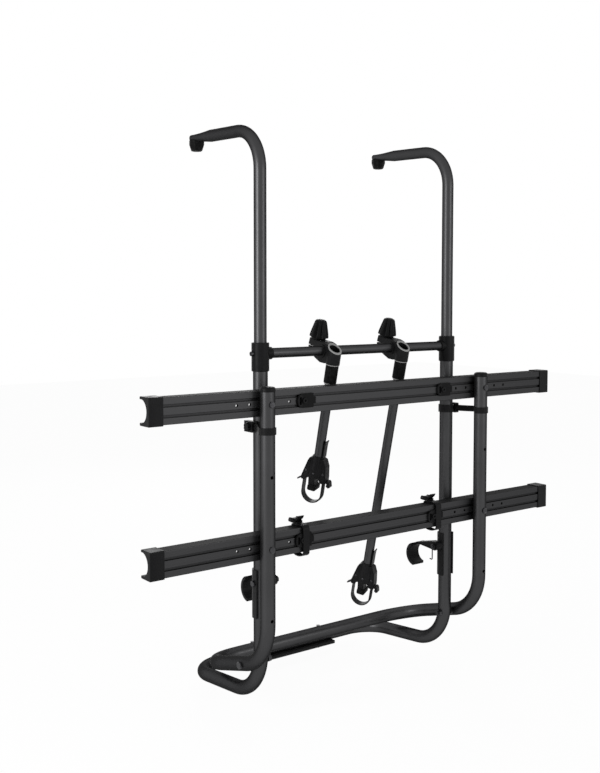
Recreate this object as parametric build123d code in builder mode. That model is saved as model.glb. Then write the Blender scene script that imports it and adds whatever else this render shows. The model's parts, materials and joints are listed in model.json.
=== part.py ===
from build123d import *
import math
import os

# Bicycle rack that hangs on a rear door: a bent tube frame with two hook tubes, a platform frame with
# two wheel rails that folds down on two bolts, and two arms on a crossbar that hold the bicycle frames.
# The rack is drawn folded up. The origin is midway between the two hook pads, on their resting faces.
# +X runs along the rails, +Y points into the vehicle and +Z is up. All sizes are millimetres.

os.makedirs("parts", exist_ok=True)

# ---- clearances
run_gap = 0.05          # radial, a shaft that turns or slides in its bore
fit_gap = 0.1           # radial, pieces of one body that are pushed together
air_gap = 0.3           # beside pieces that move past each other

# ---- where the rack hangs
hang_reach = 284.0      # from the hook pads forward to the plane of the rear tubes
hang_drop = 1235.0      # from the hook pads down to the fold axis

# ---- round tubes
tube_d = 35.0           # rear frame and platform frame
tube_wall = 2.0
hook_slack = 0.5        # all round a hook tube inside the rear tube
hook_tube_wall = 2.0
crossbar_d = 24.0
crossbar_wall = 2.0
arm_tube_d = 24.0
arm_tube_wall = 2.0

# ---- rear frame, heights are above the fold axis and reaches are behind the rear tubes
rear_spacing = 612.0
rear_tube_top = 716.0
rear_corner_drop = 88.0
rear_leg_slope = 5.5
rear_bend_radius = 115.0
rear_loop_reach = 321.0
rear_loop_radius = 82.0

# ---- platform frame
fold_gap = 6.0          # between the rear tubes and the platform tubes
platform_lead = 88.0    # in front of the rear tubes
platform_height = 652.0
platform_leg_slope = 16.0
platform_bend_radius = 120.0
platform_loop_reach = 205.0
platform_loop_radius = 102.0
cap_height = 12.0

# ---- hook tubes
hook_foot_height = 566.0
hook_crown = 23.0       # from the pads up to the corner of the hook tube's axis
hook_rise = 2.0         # degrees
hook_bend_radius = 98.0
hook_round_reach = 215.0
hook_taper_length = 70.0
hook_tip_length = 12.0
hook_tip_width = 31.0
hook_tip_thickness = 16.0
pad_radius = 19.5
pad_taper = 17.0        # degrees

# ---- crossbar and its collars
crossbar_height = 733.0
collar_height = 725.0
collar_length = 68.0
collar_wall = 3.5
collar_socket_wall = 3.0
collar_socket_length = 8.0

# ---- fasteners
fold_bolt_r = 5.0
saddle_bolt_r = 4.0
rail_bolt_r = 4.0
rest_bolt_r = 4.0
screw_r = 3.0

# ---- door hooks
saddle_height = 163.0
saddle_length = 116.0
saddle_wall = 3.5
saddle_cheek = 11.0
door_hook_height = 188.0
door_hook_width = 20.0
claw_width = 34.0
claw_reach = 57.0
claw_height = 157.0
claw_inner_radius = 25.0
claw_thickness = 7.0
claw_sweep = 170.0
claw_overhang = 30.0    # to the left of the bolt boss's middle, on both door hooks
boss_radius = 12.0
clip_wire_d = 3.0
clip_drop = 42.0

# ---- hold straps
strap_height = 563.0
strap_thickness = 3.0
strap_tail_width = 16.0
strap_band_width = 20.0
strap_slot_margin = 1.5
clamp_wall = 3.2
clamp_box_wall = 3.5
clamp_box_length = 33.0
clamp_box_front = 14.0
thumb_knob_radius = 10.0

# ---- wheel rails
rail_length = 1280.0
lower_rail_height = 293.5
rail_pitch = 330.0
rail_section_height = 59.0
gutter_lip = 1.7
gutter_web = 7.0
gutter_overrun = 2.2    # how far the section runs past the gutter's middle
groove_width = 7.0
groove_depth = 4.0
groove_pitch = 23.0
rail_cap_length = 35.0
rail_cap_end = 12.0
rail_cap_wall = 2.2
spare_hole_pitch = 165.0
rail_hole_r = 3.5
rail_hole_offsets = {-1: (-71.0, -36.0, 75.0), 1: (-76.0, -39.0, 71.0, 107.0)}

# ---- wheel strap holders, places along the rails
base_length = 54.0
base_width = 34.0
base_thickness = 5.0
base_round_length = 30.0
base_tongue = 8.0
base_boss_r = 7.0
base_boss_shift = 6.0
strap_offset = {-1: 2.0, 1: 8.0}
wheel_strap_width = 18.0
wheel_strap_thickness = 2.5
wheel_strap_hang = 10.0
buckle_setback = 12.0
upper_base_x = 226.0
lower_base_x = {-1: -231.0, 1: 196.0}

# ---- door rest under the lowest tube
rest_length = 310.0
rest_depth = 56.0
rest_height = 9.5
rest_wrap = 4.5         # how far its trough reaches up beside the tube
rest_bolt_x = 115.0
rest_boss_height = 10.0

# ---- bike arms
arm_places = {"short": (-107.0, 270.0), "long": (119.0, 603.0)}
arm_tilt = 13.0         # degrees from upright, feet towards the vehicle
clamp_width = 33.0
liner_wall = 2.0
liner_flange = 2.0
socket_web = 1.45       # between the liner and the arm's socket
socket_wall = 4.0
socket_shoulder = 1.5
clamp_crown = 7.95
clamp_belly = 15.95
socket_foot = 26.0
socket_rim = 11.0
socket_rim_slant = 27.0
screw_reach = 24.95     # from the liner to the clamp screw
knob_foot_radius = 22.0
knob_top_radius = 13.0
knob_height = 44.0
knob_flutes = 8
knob_flute_depth = 3.6
clamp_screw_r = 4.0
sleeve_wall = 4.0
sleeve_length = 45.0
jaw_swivel = 30.0       # degrees, as it stands on the folded rack
jaw_thickness = 26.0
jaw_seat_depth = 30.0
jaw_strap_radius = 26.0
jaw_strap_drop = 92.5
jaw_strap_shift = 3.0
jaw_strap_tail = 44.0
jaw_strap_width = 20.0

sides = {"left": -1, "right": 1}

# ---- places worked out from the sizes
hook_tube_d = tube_d - 2 * (tube_wall + hook_slack)
platform_spacing = rear_spacing + 2 * (tube_d + fold_gap)
hook_corner_height = hang_drop + hook_crown
collar_d = tube_d + 2 * collar_wall
collar_socket_d = crossbar_d + 2 * collar_socket_wall
gutter_radius = rail_section_height / 2 - gutter_lip
rail_section_depth = gutter_web + gutter_radius + gutter_overrun
fold_y = -hang_reach
fold_z = -hang_drop
tube_r = tube_d / 2
hook_tube_r = hook_tube_d / 2
crossbar_r = crossbar_d / 2
arm_tube_r = arm_tube_d / 2
rear_x = rear_spacing / 2
platform_x = platform_spacing / 2
platform_y = fold_y - platform_lead
crossbar_z = fold_z + crossbar_height
collar_z = fold_z + collar_height
rear_corner_z = fold_z - rear_corner_drop
rear_cross_y = fold_y + rear_loop_reach
rear_cross_z = rear_corner_z - rear_loop_reach * math.tan(math.radians(rear_leg_slope))
platform_fall = math.tan(math.radians(platform_leg_slope))
platform_corner_z = fold_z + platform_lead * platform_fall
platform_cross_y = fold_y + platform_loop_reach
platform_cross_z = fold_z - platform_loop_reach * platform_fall
platform_top_z = fold_z + platform_height
rail_face_y = platform_y + tube_r
rail_heights = {"lower": lower_rail_height, "upper": lower_rail_height + rail_pitch}
saddle_r = tube_r + saddle_wall
door_hook_z = fold_z + door_hook_height
strap_z = fold_z + strap_height


def across(x, y, z):
    """Plane square to X, with its local x along +Y and its local y along +Z."""
    return Plane(origin=(x, y, z), x_dir=(0, 1, 0), z_dir=(1, 0, 0))


def facing_front(x, y, z):
    """Plane that faces -Y, with its local x along +X and its local y along +Z."""
    return Plane(origin=(x, y, z), x_dir=(1, 0, 0), z_dir=(0, -1, 0))


def finish(piece, name):
    """Label a finished piece and write it to its own file."""
    piece.part.label = name
    export_step(piece.part, f"parts/{name}.step")


def fastener(seat, direction, grip, shaft_r, head_r, head_h, nut_r, nut_h, domed=False):
    """Bolt whose head bears at the seat, with a nut that closes the grip."""
    under_head = Plane(origin=seat, z_dir=direction)
    with BuildPart() as made:
        with BuildSketch(under_head):
            if domed:
                Circle(head_r)
            else:
                RegularPolygon(head_r, 6)
        extrude(amount=-head_h)
        rim = made.edges().group_by(Axis(seat, direction))[0]
        chamfer(rim, head_h * (0.4 if domed else 0.15))
        with BuildSketch(under_head):
            Circle(shaft_r)
        extrude(amount=grip + nut_h + shaft_r / 2)
        with BuildSketch(under_head.offset(grip)):
            RegularPolygon(nut_r, 6)
            Circle(shaft_r + run_gap, mode=Mode.SUBTRACT)
        extrude(amount=nut_h)
    return made.part


# ================================================================ rear frame
rear_route = [
    (-rear_x, fold_y, fold_z + rear_tube_top),
    (-rear_x, fold_y, rear_corner_z),
    (-rear_x, rear_cross_y, rear_cross_z),
    (rear_x, rear_cross_y, rear_cross_z),
    (rear_x, fold_y, rear_corner_z),
    (rear_x, fold_y, fold_z + rear_tube_top),
]
rear_radii = [rear_bend_radius, rear_loop_radius, rear_loop_radius, rear_bend_radius]

with BuildPart() as rear_frame:
    with BuildLine():
        FilletPolyline(*rear_route, radius=rear_radii)
    with BuildSketch(Plane(origin=rear_route[0], z_dir=(0, 0, -1))):
        Circle(tube_r)
        Circle(tube_r - tube_wall, mode=Mode.SUBTRACT)
    sweep()
    with Locations(*[across(side * rear_x, fold_y, fold_z) for side in sides.values()]):
        Cylinder(fold_bolt_r + fit_gap, tube_d * 1.3, mode=Mode.SUBTRACT)
    with Locations(*[across(side * rear_x, fold_y, door_hook_z) for side in sides.values()]):
        Cylinder(saddle_bolt_r + fit_gap, tube_d * 1.3, mode=Mode.SUBTRACT)
    with Locations(*[(side * rest_bolt_x, rear_cross_y, rear_cross_z) for side in sides.values()]):
        Cylinder(rest_bolt_r + fit_gap, tube_d * 1.3, mode=Mode.SUBTRACT)
finish(rear_frame, "rear_frame")

# ================================================================ crossbar and collars
socket_mouth = rear_x - collar_d / 2 - collar_socket_length
socket_floor = rear_x - hook_tube_r - run_gap - 2.5
crossbar_end = socket_floor - fit_gap

with BuildPart() as crossbar:
    with BuildSketch(across(-crossbar_end, fold_y, crossbar_z)):
        Circle(crossbar_r)
        Circle(crossbar_r - crossbar_wall, mode=Mode.SUBTRACT)
    extrude(amount=2 * crossbar_end)
finish(crossbar, "crossbar")


def make_collar(side):
    """Moulded tee that holds the top of a rear tube, the hook tube in it and one end of the crossbar."""
    foot = collar_z - collar_length / 2
    with BuildPart() as collar:
        with BuildSketch(Plane.XY.offset(foot)):
            with Locations((side * rear_x, fold_y)):
                Circle(collar_d / 2)
        extrude(amount=collar_length)
        with BuildSketch(across(side * socket_mouth, fold_y, crossbar_z)):
            Circle(collar_socket_d / 2)
        extrude(amount=side * (rear_x - socket_mouth))
        chamfer(collar.faces().sort_by(Axis.Z)[0].edges() + collar.faces().sort_by(Axis.Z)[-1].edges(), 1.5)
        with BuildSketch(Plane.XY.offset(foot)):
            with Locations((side * rear_x, fold_y)):
                Circle(tube_r + fit_gap)
        extrude(amount=fold_z + rear_tube_top - foot + fit_gap, mode=Mode.SUBTRACT)
        with BuildSketch(Plane.XY.offset(foot)):
            with Locations((side * rear_x, fold_y)):
                Circle(hook_tube_r + run_gap)
        extrude(amount=collar_length, mode=Mode.SUBTRACT)
        with BuildSketch(across(side * socket_mouth, fold_y, crossbar_z)):
            Circle(crossbar_r + fit_gap)
        extrude(amount=side * (socket_floor - socket_mouth), mode=Mode.SUBTRACT)
        with Locations(across(side * (rear_x + collar_d / 2 - 2), fold_y, crossbar_z)):
            Cylinder(7.0, 6.0)
        with Locations(across(side * (rear_x + collar_d / 2), fold_y, crossbar_z)):
            Cylinder(screw_r + fit_gap, 30.0, mode=Mode.SUBTRACT)
        with BuildSketch(Plane.XY.offset(foot)):
            with Locations((side * rear_x, fold_y)):
                Circle(hook_tube_r + run_gap)
        extrude(amount=collar_length, mode=Mode.SUBTRACT)
    return collar.part


with BuildPart() as collars:
    for side in sides.values():
        add(make_collar(side))
finish(collars, "collars")

with BuildPart() as collar_screws:
    for side in sides.values():
        head_x = rear_x + collar_d / 2 + 1.0
        with BuildSketch(across(side * head_x, fold_y, crossbar_z)):
            Circle(5.5)
            RegularPolygon(2.8, 6, mode=Mode.SUBTRACT)
        extrude(amount=side * 5.0)
        with BuildSketch(across(side * (head_x + 1.0), fold_y, crossbar_z)):
            Circle(screw_r)
        extrude(amount=-side * (head_x + 1.0 - rear_x - hook_tube_r - air_gap))
finish(collar_screws, "collar_screws")

# ================================================================ hook tubes and pads
hook_run = Vector(0, math.cos(math.radians(hook_rise)), math.sin(math.radians(hook_rise)))


def make_hook_tube(side):
    """Hook tube, bent over the top of the door and pressed flat at its tip."""
    foot = Vector(side * rear_x, fold_y, fold_z + hook_foot_height)
    corner = Vector(side * rear_x, fold_y, fold_z + hook_corner_height)
    round_end = corner + hook_run * hook_round_reach
    with BuildPart() as hook:
        with BuildLine():
            FilletPolyline(foot, corner, round_end, radius=hook_bend_radius)
        with BuildSketch(Plane(origin=foot, z_dir=(0, 0, 1))):
            Circle(hook_tube_r)
            Circle(hook_tube_r - hook_tube_wall, mode=Mode.SUBTRACT)
        sweep()
        end_plane = Plane(origin=round_end, x_dir=(1, 0, 0), z_dir=hook_run)
        tip_plane = end_plane.offset(hook_taper_length)
        with BuildSketch(end_plane):
            Circle(hook_tube_r)
        with BuildSketch(tip_plane):
            RectangleRounded(hook_tip_width, hook_tip_thickness, hook_tip_thickness * 0.45)
        loft()
        with BuildSketch(tip_plane):
            RectangleRounded(hook_tip_width, hook_tip_thickness, hook_tip_thickness * 0.45)
        extrude(amount=hook_tip_length)
        fillet(hook.faces().sort_by(Axis.Y)[-1].edges(), 3.0)
    return hook.part


def make_pad(side, tube):
    """Faceted rubber foot below the tip of a hook tube."""
    pad_rise = hook_crown + 4.0
    with BuildPart() as pad:
        with BuildSketch(Plane.XY.offset(pad_rise * 0.6)):
            with Locations((side * rear_x, 0)):
                RegularPolygon(pad_radius, 8)
        extrude(amount=-pad_rise * 0.6, taper=pad_taper)
        with BuildSketch(Plane.XY.offset(pad_rise * 0.6)):
            with Locations((side * rear_x, 0)):
                RegularPolygon(pad_radius, 8)
        extrude(amount=pad_rise * 0.4)
        chamfer(pad.faces().sort_by(Axis.Z)[0].edges(), 1.5)
        add(tube, mode=Mode.SUBTRACT)
        chosen = pad.solids().sort_by(Axis.Z)[0]
    with BuildPart() as kept:
        add(chosen)
    return kept.part


for name, side in sides.items():
    with BuildPart() as hook_tube:
        add(make_hook_tube(side))
    finish(hook_tube, f"hook_tube_{name}")
    with BuildPart() as hook_pad:
        add(make_pad(side, hook_tube.part))
    finish(hook_pad, f"hook_pad_{name}")

# ================================================================ platform frame
platform_route = [
    (-platform_x, platform_y, platform_top_z),
    (-platform_x, platform_y, platform_corner_z),
    (-platform_x, platform_cross_y, platform_cross_z),
    (platform_x, platform_cross_y, platform_cross_z),
    (platform_x, platform_y, platform_corner_z),
    (platform_x, platform_y, platform_top_z),
]
platform_radii = [platform_bend_radius, platform_loop_radius, platform_loop_radius, platform_bend_radius]
spare_heights = [lower_rail_height - spare_hole_pitch, lower_rail_height + spare_hole_pitch]

with BuildPart() as platform_frame:
    with BuildLine():
        FilletPolyline(*platform_route, radius=platform_radii)
    with BuildSketch(Plane(origin=platform_route[0], z_dir=(0, 0, -1))):
        Circle(tube_r)
        Circle(tube_r - tube_wall, mode=Mode.SUBTRACT)
    sweep()
    with Locations(*[across(side * platform_x, fold_y, fold_z) for side in sides.values()]):
        Cylinder(fold_bolt_r + run_gap, tube_d * 1.3, mode=Mode.SUBTRACT)
    for side in sides.values():
        for height in [*rail_heights.values(), *spare_heights]:
            with Locations(facing_front(side * platform_x, platform_y, fold_z + height)):
                Cylinder(rail_bolt_r + fit_gap, tube_d * 1.3, mode=Mode.SUBTRACT)
finish(platform_frame, "platform_frame")

with BuildPart() as platform_caps:
    for side in sides.values():
        with BuildSketch(Plane.XY.offset(platform_top_z)):
            with Locations((side * platform_x, platform_y)):
                Circle(tube_r + 0.8)
        extrude(amount=cap_height)
        with BuildSketch(Plane.XY.offset(platform_top_z)):
            with Locations((side * platform_x, platform_y)):
                Circle(tube_r - tube_wall - fit_gap)
        extrude(amount=-cap_height)
    chamfer(platform_caps.edges().group_by(Axis.Z)[-1], 4.0)
finish(platform_caps, "platform_caps")

# ================================================================ fold bolts and spacers
spacer_length = fold_gap + 3.0
fold_grip = (platform_x + tube_r + air_gap) - (rear_x - tube_r)

with BuildPart() as fold_bolts:
    for side in sides.values():
        head_seat = (side * (platform_x + tube_r + air_gap), fold_y, fold_z)
        add(fastener(head_seat, (-side, 0, 0), fold_grip, fold_bolt_r, 9.5, 6.0, 9.5, 8.0))
finish(fold_bolts, "fold_bolts")

with BuildPart() as fold_spacers:
    for side in sides.values():
        with BuildSketch(across(side * (platform_x - tube_r - air_gap), fold_y, fold_z)):
            Circle(11.0)
            Circle(fold_bolt_r + fit_gap, mode=Mode.SUBTRACT)
        extrude(amount=-side * spacer_length)
    add(rear_frame.part, mode=Mode.SUBTRACT)
    for side in sides.values():
        with Locations((side * rear_x, fold_y, fold_z)):
            Cylinder(tube_r + fit_gap, 60.0, mode=Mode.SUBTRACT)
finish(fold_spacers, "fold_spacers")

# ================================================================ door hooks
with BuildPart() as hook_saddles:
    for side in sides.values():
        with BuildSketch(Plane.XY.offset(fold_z + saddle_height - saddle_length / 2)):
            with Locations((side * rear_x, fold_y)):
                Circle(saddle_r)
                Rectangle(2 * saddle_r, saddle_cheek, align=(Align.CENTER, Align.MAX))
                Circle(tube_r + fit_gap, mode=Mode.SUBTRACT)
                Rectangle(
                    tube_d + 2 * fit_gap, 2 * saddle_r, align=(Align.CENTER, Align.MAX), mode=Mode.SUBTRACT
                )
        extrude(amount=saddle_length)
        with Locations(across(side * rear_x, fold_y, door_hook_z)):
            Cylinder(saddle_bolt_r + fit_gap, 3 * saddle_r, mode=Mode.SUBTRACT)
finish(hook_saddles, "hook_saddles")

hook_outer_x = rear_x - saddle_r - air_gap
saddle_grip = 2 * saddle_r + air_gap + door_hook_width + air_gap

with BuildPart() as saddle_bolts:
    for side in sides.values():
        head_seat = (side * (rear_x + saddle_r), fold_y, door_hook_z)
        add(fastener(head_seat, (-side, 0, 0), saddle_grip, saddle_bolt_r, 7.5, 5.0, 7.5, 6.5))
finish(saddle_bolts, "saddle_bolts")

claw_outer_radius = claw_inner_radius + claw_thickness
claw_centre = (claw_reach, claw_height - door_hook_height)
claw_last = 90.0 - claw_sweep


def claw_point(radius, angle):
    """Point on the claw's arc, seen from the bolt of the door hook."""
    turn = math.radians(angle)
    return (claw_centre[0] + radius * math.cos(turn), claw_centre[1] + radius * math.sin(turn))


def make_door_hook(side):
    """Arm on the saddle bolt that ends in a broad curved claw."""
    mid_x = side * (hook_outer_x - door_hook_width / 2)
    with BuildPart() as hook:
        with BuildSketch(across(mid_x, fold_y, door_hook_z)):
            with BuildLine():
                Polyline((0, boss_radius), (14, boss_radius - 1), claw_point(claw_outer_radius, 90))
                ThreePointArc(
                    claw_point(claw_outer_radius, 90),
                    claw_point(claw_outer_radius, 0),
                    claw_point(claw_outer_radius, claw_last),
                )
                Line(claw_point(claw_outer_radius, claw_last), claw_point(claw_inner_radius, claw_last))
                ThreePointArc(
                    claw_point(claw_inner_radius, claw_last),
                    claw_point(claw_inner_radius, 0),
                    claw_point(claw_inner_radius, 90),
                )
                Polyline(claw_point(claw_inner_radius, 90), (14, -boss_radius + 2), (0, -boss_radius), (0, boss_radius))
            make_face()
            Circle(boss_radius)
        extrude(amount=door_hook_width / 2, both=True)
        with BuildSketch(across(mid_x - claw_overhang, fold_y, door_hook_z)):
            with BuildLine():
                ThreePointArc(
                    claw_point(claw_outer_radius, 60),
                    claw_point(claw_outer_radius, 0),
                    claw_point(claw_outer_radius, claw_last),
                )
                Line(claw_point(claw_outer_radius, claw_last), claw_point(claw_inner_radius, claw_last))
                ThreePointArc(
                    claw_point(claw_inner_radius, claw_last),
                    claw_point(claw_inner_radius, 0),
                    claw_point(claw_inner_radius, 60),
                )
                Line(claw_point(claw_inner_radius, 60), claw_point(claw_outer_radius, 60))
            make_face()
        extrude(amount=claw_width)
        with Locations(across(mid_x, fold_y, door_hook_z)):
            Cylinder(saddle_bolt_r + run_gap, 3 * door_hook_width, mode=Mode.SUBTRACT)
    return hook.part


def make_clip(side):
    """Sprung wire that hangs from a door hook and ends in a small hook of its own."""
    mid_x = side * (hook_outer_x - door_hook_width / 2)
    top = Vector(mid_x, fold_y + 17, door_hook_z)
    bottom = top - Vector(0, 0, clip_drop)
    with BuildPart() as clip:
        with BuildLine():
            FilletPolyline(top, bottom, bottom + Vector(0, 9, 1), radius=3.0)
        with BuildSketch(Plane(origin=top, z_dir=(0, 0, -1))):
            Circle(clip_wire_d / 2)
        sweep()
    return clip.part


for name, side in sides.items():
    with BuildPart() as door_hook:
        add(make_door_hook(side))
        if side > 0:
            add(make_clip(side))
    finish(door_hook, f"door_hook_{name}")

# ================================================================ hold straps and their clamps
slot_width = strap_thickness + 2 * strap_slot_margin
slot_height = strap_tail_width + 2 * strap_slot_margin
tail_x = rear_x + tube_r + clamp_wall + clamp_box_wall + slot_width / 2
box_width = slot_width + 2 * clamp_box_wall
box_height = slot_height + 2 * clamp_box_wall
box_mid_y = fold_y - clamp_box_front + clamp_box_length / 2

with BuildPart() as strap_clamps:
    for side in sides.values():
        with Locations((side * rear_x, fold_y, strap_z)):
            Cylinder(tube_r + clamp_wall, strap_band_width)
        with Locations((side * tail_x, box_mid_y, strap_z)):
            Box(box_width, clamp_box_length, box_height)
        with Locations((side * tail_x, box_mid_y, strap_z)):
            Box(slot_width, clamp_box_length + 1, slot_height, mode=Mode.SUBTRACT)
        with Locations((side * rear_x, fold_y, strap_z)):
            Cylinder(tube_r + fit_gap, 2 * box_height, mode=Mode.SUBTRACT)
        with Locations(across(side * (tail_x + box_width / 2), fold_y, strap_z)):
            Cylinder(screw_r + run_gap, 2 * clamp_box_wall + 1, mode=Mode.SUBTRACT)
finish(strap_clamps, "strap_clamps")

for name, side in sides.items():
    with BuildPart() as thumb_knob:
        face_x = tail_x + box_width / 2 + air_gap
        with BuildSketch(across(side * face_x, fold_y, strap_z)):
            Circle(thumb_knob_radius)
            with PolarLocations(thumb_knob_radius + 1.5, 6):
                Circle(3.2, mode=Mode.SUBTRACT)
        extrude(amount=side * 8.0)
        chamfer(thumb_knob.faces().sort_by(Axis.X)[-1 if side > 0 else 0].edges(), 0.8)
        with BuildSketch(across(side * face_x, fold_y, strap_z)):
            Circle(screw_r)
        extrude(amount=-side * (face_x - tail_x - strap_thickness / 2 - air_gap))
    finish(thumb_knob, f"strap_knob_{name}")

band_mid_r = tube_r + fit_gap + strap_thickness / 2
band_outer_r = band_mid_r + strap_thickness / 2
tail_back_y = box_mid_y + clamp_box_length / 2 - 3.0
tail_bend_y = fold_y - clamp_box_front - 8.0

with BuildPart() as hold_straps:
    for side in sides.values():
        with BuildSketch(Plane.XY.offset(strap_z - strap_tail_width / 2)):
            with Locations((side * tail_x, (tail_back_y + tail_bend_y) / 2)):
                Rectangle(strap_thickness, tail_back_y - tail_bend_y)
            half = strap_thickness / 2
            band_x = platform_x + band_mid_r
            Polygon(
                (side * (tail_x - half), tail_bend_y),
                (side * (tail_x + half), tail_bend_y),
                (side * (band_x + half), platform_y + 4),
                (side * (band_x + half), platform_y - 2),
                (side * (band_x - half), platform_y - 2),
                (side * (band_x - half), platform_y + 4),
                align=None,
            )
            with Locations((side * platform_x, platform_y)):
                Circle(tube_r + fit_gap, mode=Mode.SUBTRACT)
        extrude(amount=strap_tail_width)
        with BuildSketch(Plane.XY.offset(strap_z - strap_band_width / 2)):
            with Locations((side * platform_x, platform_y)):
                Circle(band_outer_r)
                Rectangle(2 * tube_d, tube_d, align=(Align.CENTER, Align.MIN), mode=Mode.SUBTRACT)
                Rectangle(2 * band_outer_r, 6.0, align=(Align.CENTER, Align.MIN))
                Circle(tube_r + fit_gap, mode=Mode.SUBTRACT)
                Rectangle(tube_d + 2 * fit_gap, 8.0, align=(Align.CENTER, Align.MIN), mode=Mode.SUBTRACT)
        extrude(amount=strap_band_width)
finish(hold_straps, "hold_straps")

# ================================================================ wheel rails
gutter_centre = gutter_web + gutter_radius
rail_body_length = rail_length - 2 * rail_cap_end
groove_edge = (groove_pitch + groove_width) / 2


def rail_plane(x, height):
    """Section plane of a rail: local x runs back from its under face, local y is up from its middle."""
    return across(x, rail_face_y, fold_z + height)


def make_rail(height):
    """Extruded rail: wheel gutter behind, three bands and two grooves on its under face."""
    with BuildPart() as rail:
        with BuildSketch(rail_plane(-rail_body_length / 2, height)):
            with Locations((rail_section_depth / 2, 0)):
                RectangleRounded(rail_section_depth, rail_section_height, 1.5)
            with Locations((gutter_centre, 0)):
                Circle(gutter_radius, mode=Mode.SUBTRACT)
            with GridLocations(0, groove_pitch, 1, 2):
                Rectangle(2 * groove_depth, groove_width, mode=Mode.SUBTRACT)
            for turn in (-1, 1):
                inner = rail_section_height / 2 - 2.5
                Polygon(
                    (2.5, turn * inner),
                    (19.0, turn * inner),
                    (11.0, turn * (groove_edge + 3.5)),
                    (2.5, turn * (groove_edge + 2.5)),
                    align=None,
                    mode=Mode.SUBTRACT,
                )
        extrude(amount=rail_body_length)
        for side in sides.values():
            with Locations(facing_front(side * platform_x, rail_face_y, fold_z + height)):
                Cylinder(rail_bolt_r + fit_gap, 4 * gutter_web, mode=Mode.SUBTRACT)
            for offset_x in rail_hole_offsets[side]:
                with Locations(facing_front(side * platform_x + offset_x, rail_face_y, fold_z + height)):
                    Cylinder(rail_hole_r, 4 * gutter_web, mode=Mode.SUBTRACT)
    return rail.part


def make_rail_cap(side, height):
    """Moulded cap, closed at the rail's end and slipped over it as a sleeve."""
    with BuildPart() as cap:
        with BuildSketch(rail_plane(side * rail_length / 2, height)):
            with Locations((rail_section_depth / 2, 0)):
                RectangleRounded(
                    rail_section_depth + 2 * rail_cap_wall, rail_section_height + 2 * rail_cap_wall, 2.5
                )
            with Locations((gutter_centre, 0)):
                Circle(gutter_radius - rail_cap_wall, mode=Mode.SUBTRACT)
        extrude(amount=-side * rail_cap_length)
        end_face = cap.faces().sort_by(Axis.X)[-1 if side > 0 else 0]
        chamfer(end_face.edges(), 1.2)
        with BuildSketch(rail_plane(side * (rail_length / 2 - rail_cap_end + fit_gap), height)):
            with Locations((rail_section_depth / 2, 0)):
                RectangleRounded(rail_section_depth + 2 * fit_gap, rail_section_height + 2 * fit_gap, 1.5)
            with Locations((gutter_centre, 0)):
                Circle(gutter_radius - fit_gap, mode=Mode.SUBTRACT)
        extrude(amount=-side * rail_cap_length, mode=Mode.SUBTRACT)
    return cap.part


for name, height in rail_heights.items():
    with BuildPart() as rail:
        add(make_rail(height))
    finish(rail, f"{name}_rail")

with BuildPart() as rail_caps:
    for side in sides.values():
        for height in rail_heights.values():
            add(make_rail_cap(side, height))
finish(rail_caps, "rail_caps")

rail_nut_r = 7.0
nut_sag = gutter_radius - math.sqrt(gutter_radius**2 - rail_nut_r**2) + fit_gap

with BuildPart() as rail_bolts:
    for side in sides.values():
        for height in rail_heights.values():
            head_seat = (side * platform_x, platform_y - tube_r, fold_z + height)
            grip = tube_d + gutter_web + nut_sag
            add(fastener(head_seat, (0, 1, 0), grip, rail_bolt_r, 7.5, 4.5, rail_nut_r, 5.0, domed=True))
finish(rail_bolts, "rail_bolts")

# ================================================================ wheel strap holders
base_places = {
    "upper_left": (-upper_base_x, rail_heights["upper"]),
    "upper_right": (upper_base_x, rail_heights["upper"]),
    "lower_left": (lower_base_x[-1], rail_heights["lower"]),
    "lower_right": (lower_base_x[1], rail_heights["lower"]),
}


def make_base(x, height):
    """Moulded slider that runs on the two grooves of a rail and anchors a wheel strap."""
    seat = facing_front(x, rail_face_y - air_gap, fold_z + height)
    with BuildPart() as base:
        with BuildSketch(seat):
            with Locations((base_width / 2 - base_length / 2, 0)):
                Circle(base_width / 2)
                Rectangle(base_round_length, base_width, align=(Align.MIN, Align.CENTER))
            with Locations((base_length / 2 - base_tongue, 0)):
                Rectangle(base_tongue, base_width * 0.45, align=(Align.MIN, Align.CENTER))
            with Locations((9 - base_length / 2, 0)):
                RectangleRounded(5, base_width * 0.55, 2, mode=Mode.SUBTRACT)
        extrude(amount=base_thickness)
        chamfer(base.faces().sort_by(Axis.Y)[0].outer_wire().edges(), 1.0)
        with BuildSketch(seat):
            with GridLocations(0, groove_pitch, 1, 2):
                Rectangle(base_length - 24, groove_width - 2 * air_gap)
        extrude(amount=-(groove_depth - air_gap))
        with BuildSketch(seat.offset(base_thickness)):
            with Locations((-base_boss_shift, 0)):
                Circle(base_boss_r)
                RegularPolygon(3.2, 6, mode=Mode.SUBTRACT)
        extrude(amount=2.5)
    return base.part


for name, (x, height) in base_places.items():
    with BuildPart() as wheel_base:
        add(make_base(x, height))
    finish(wheel_base, f"wheel_base_{name}")

strap_front = -(air_gap + base_thickness + fit_gap)
strap_back = rail_section_depth + 1.5
strap_top = rail_section_height / 2 + 1.5
strap_foot = -(rail_section_height / 2 + wheel_strap_hang)


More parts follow.
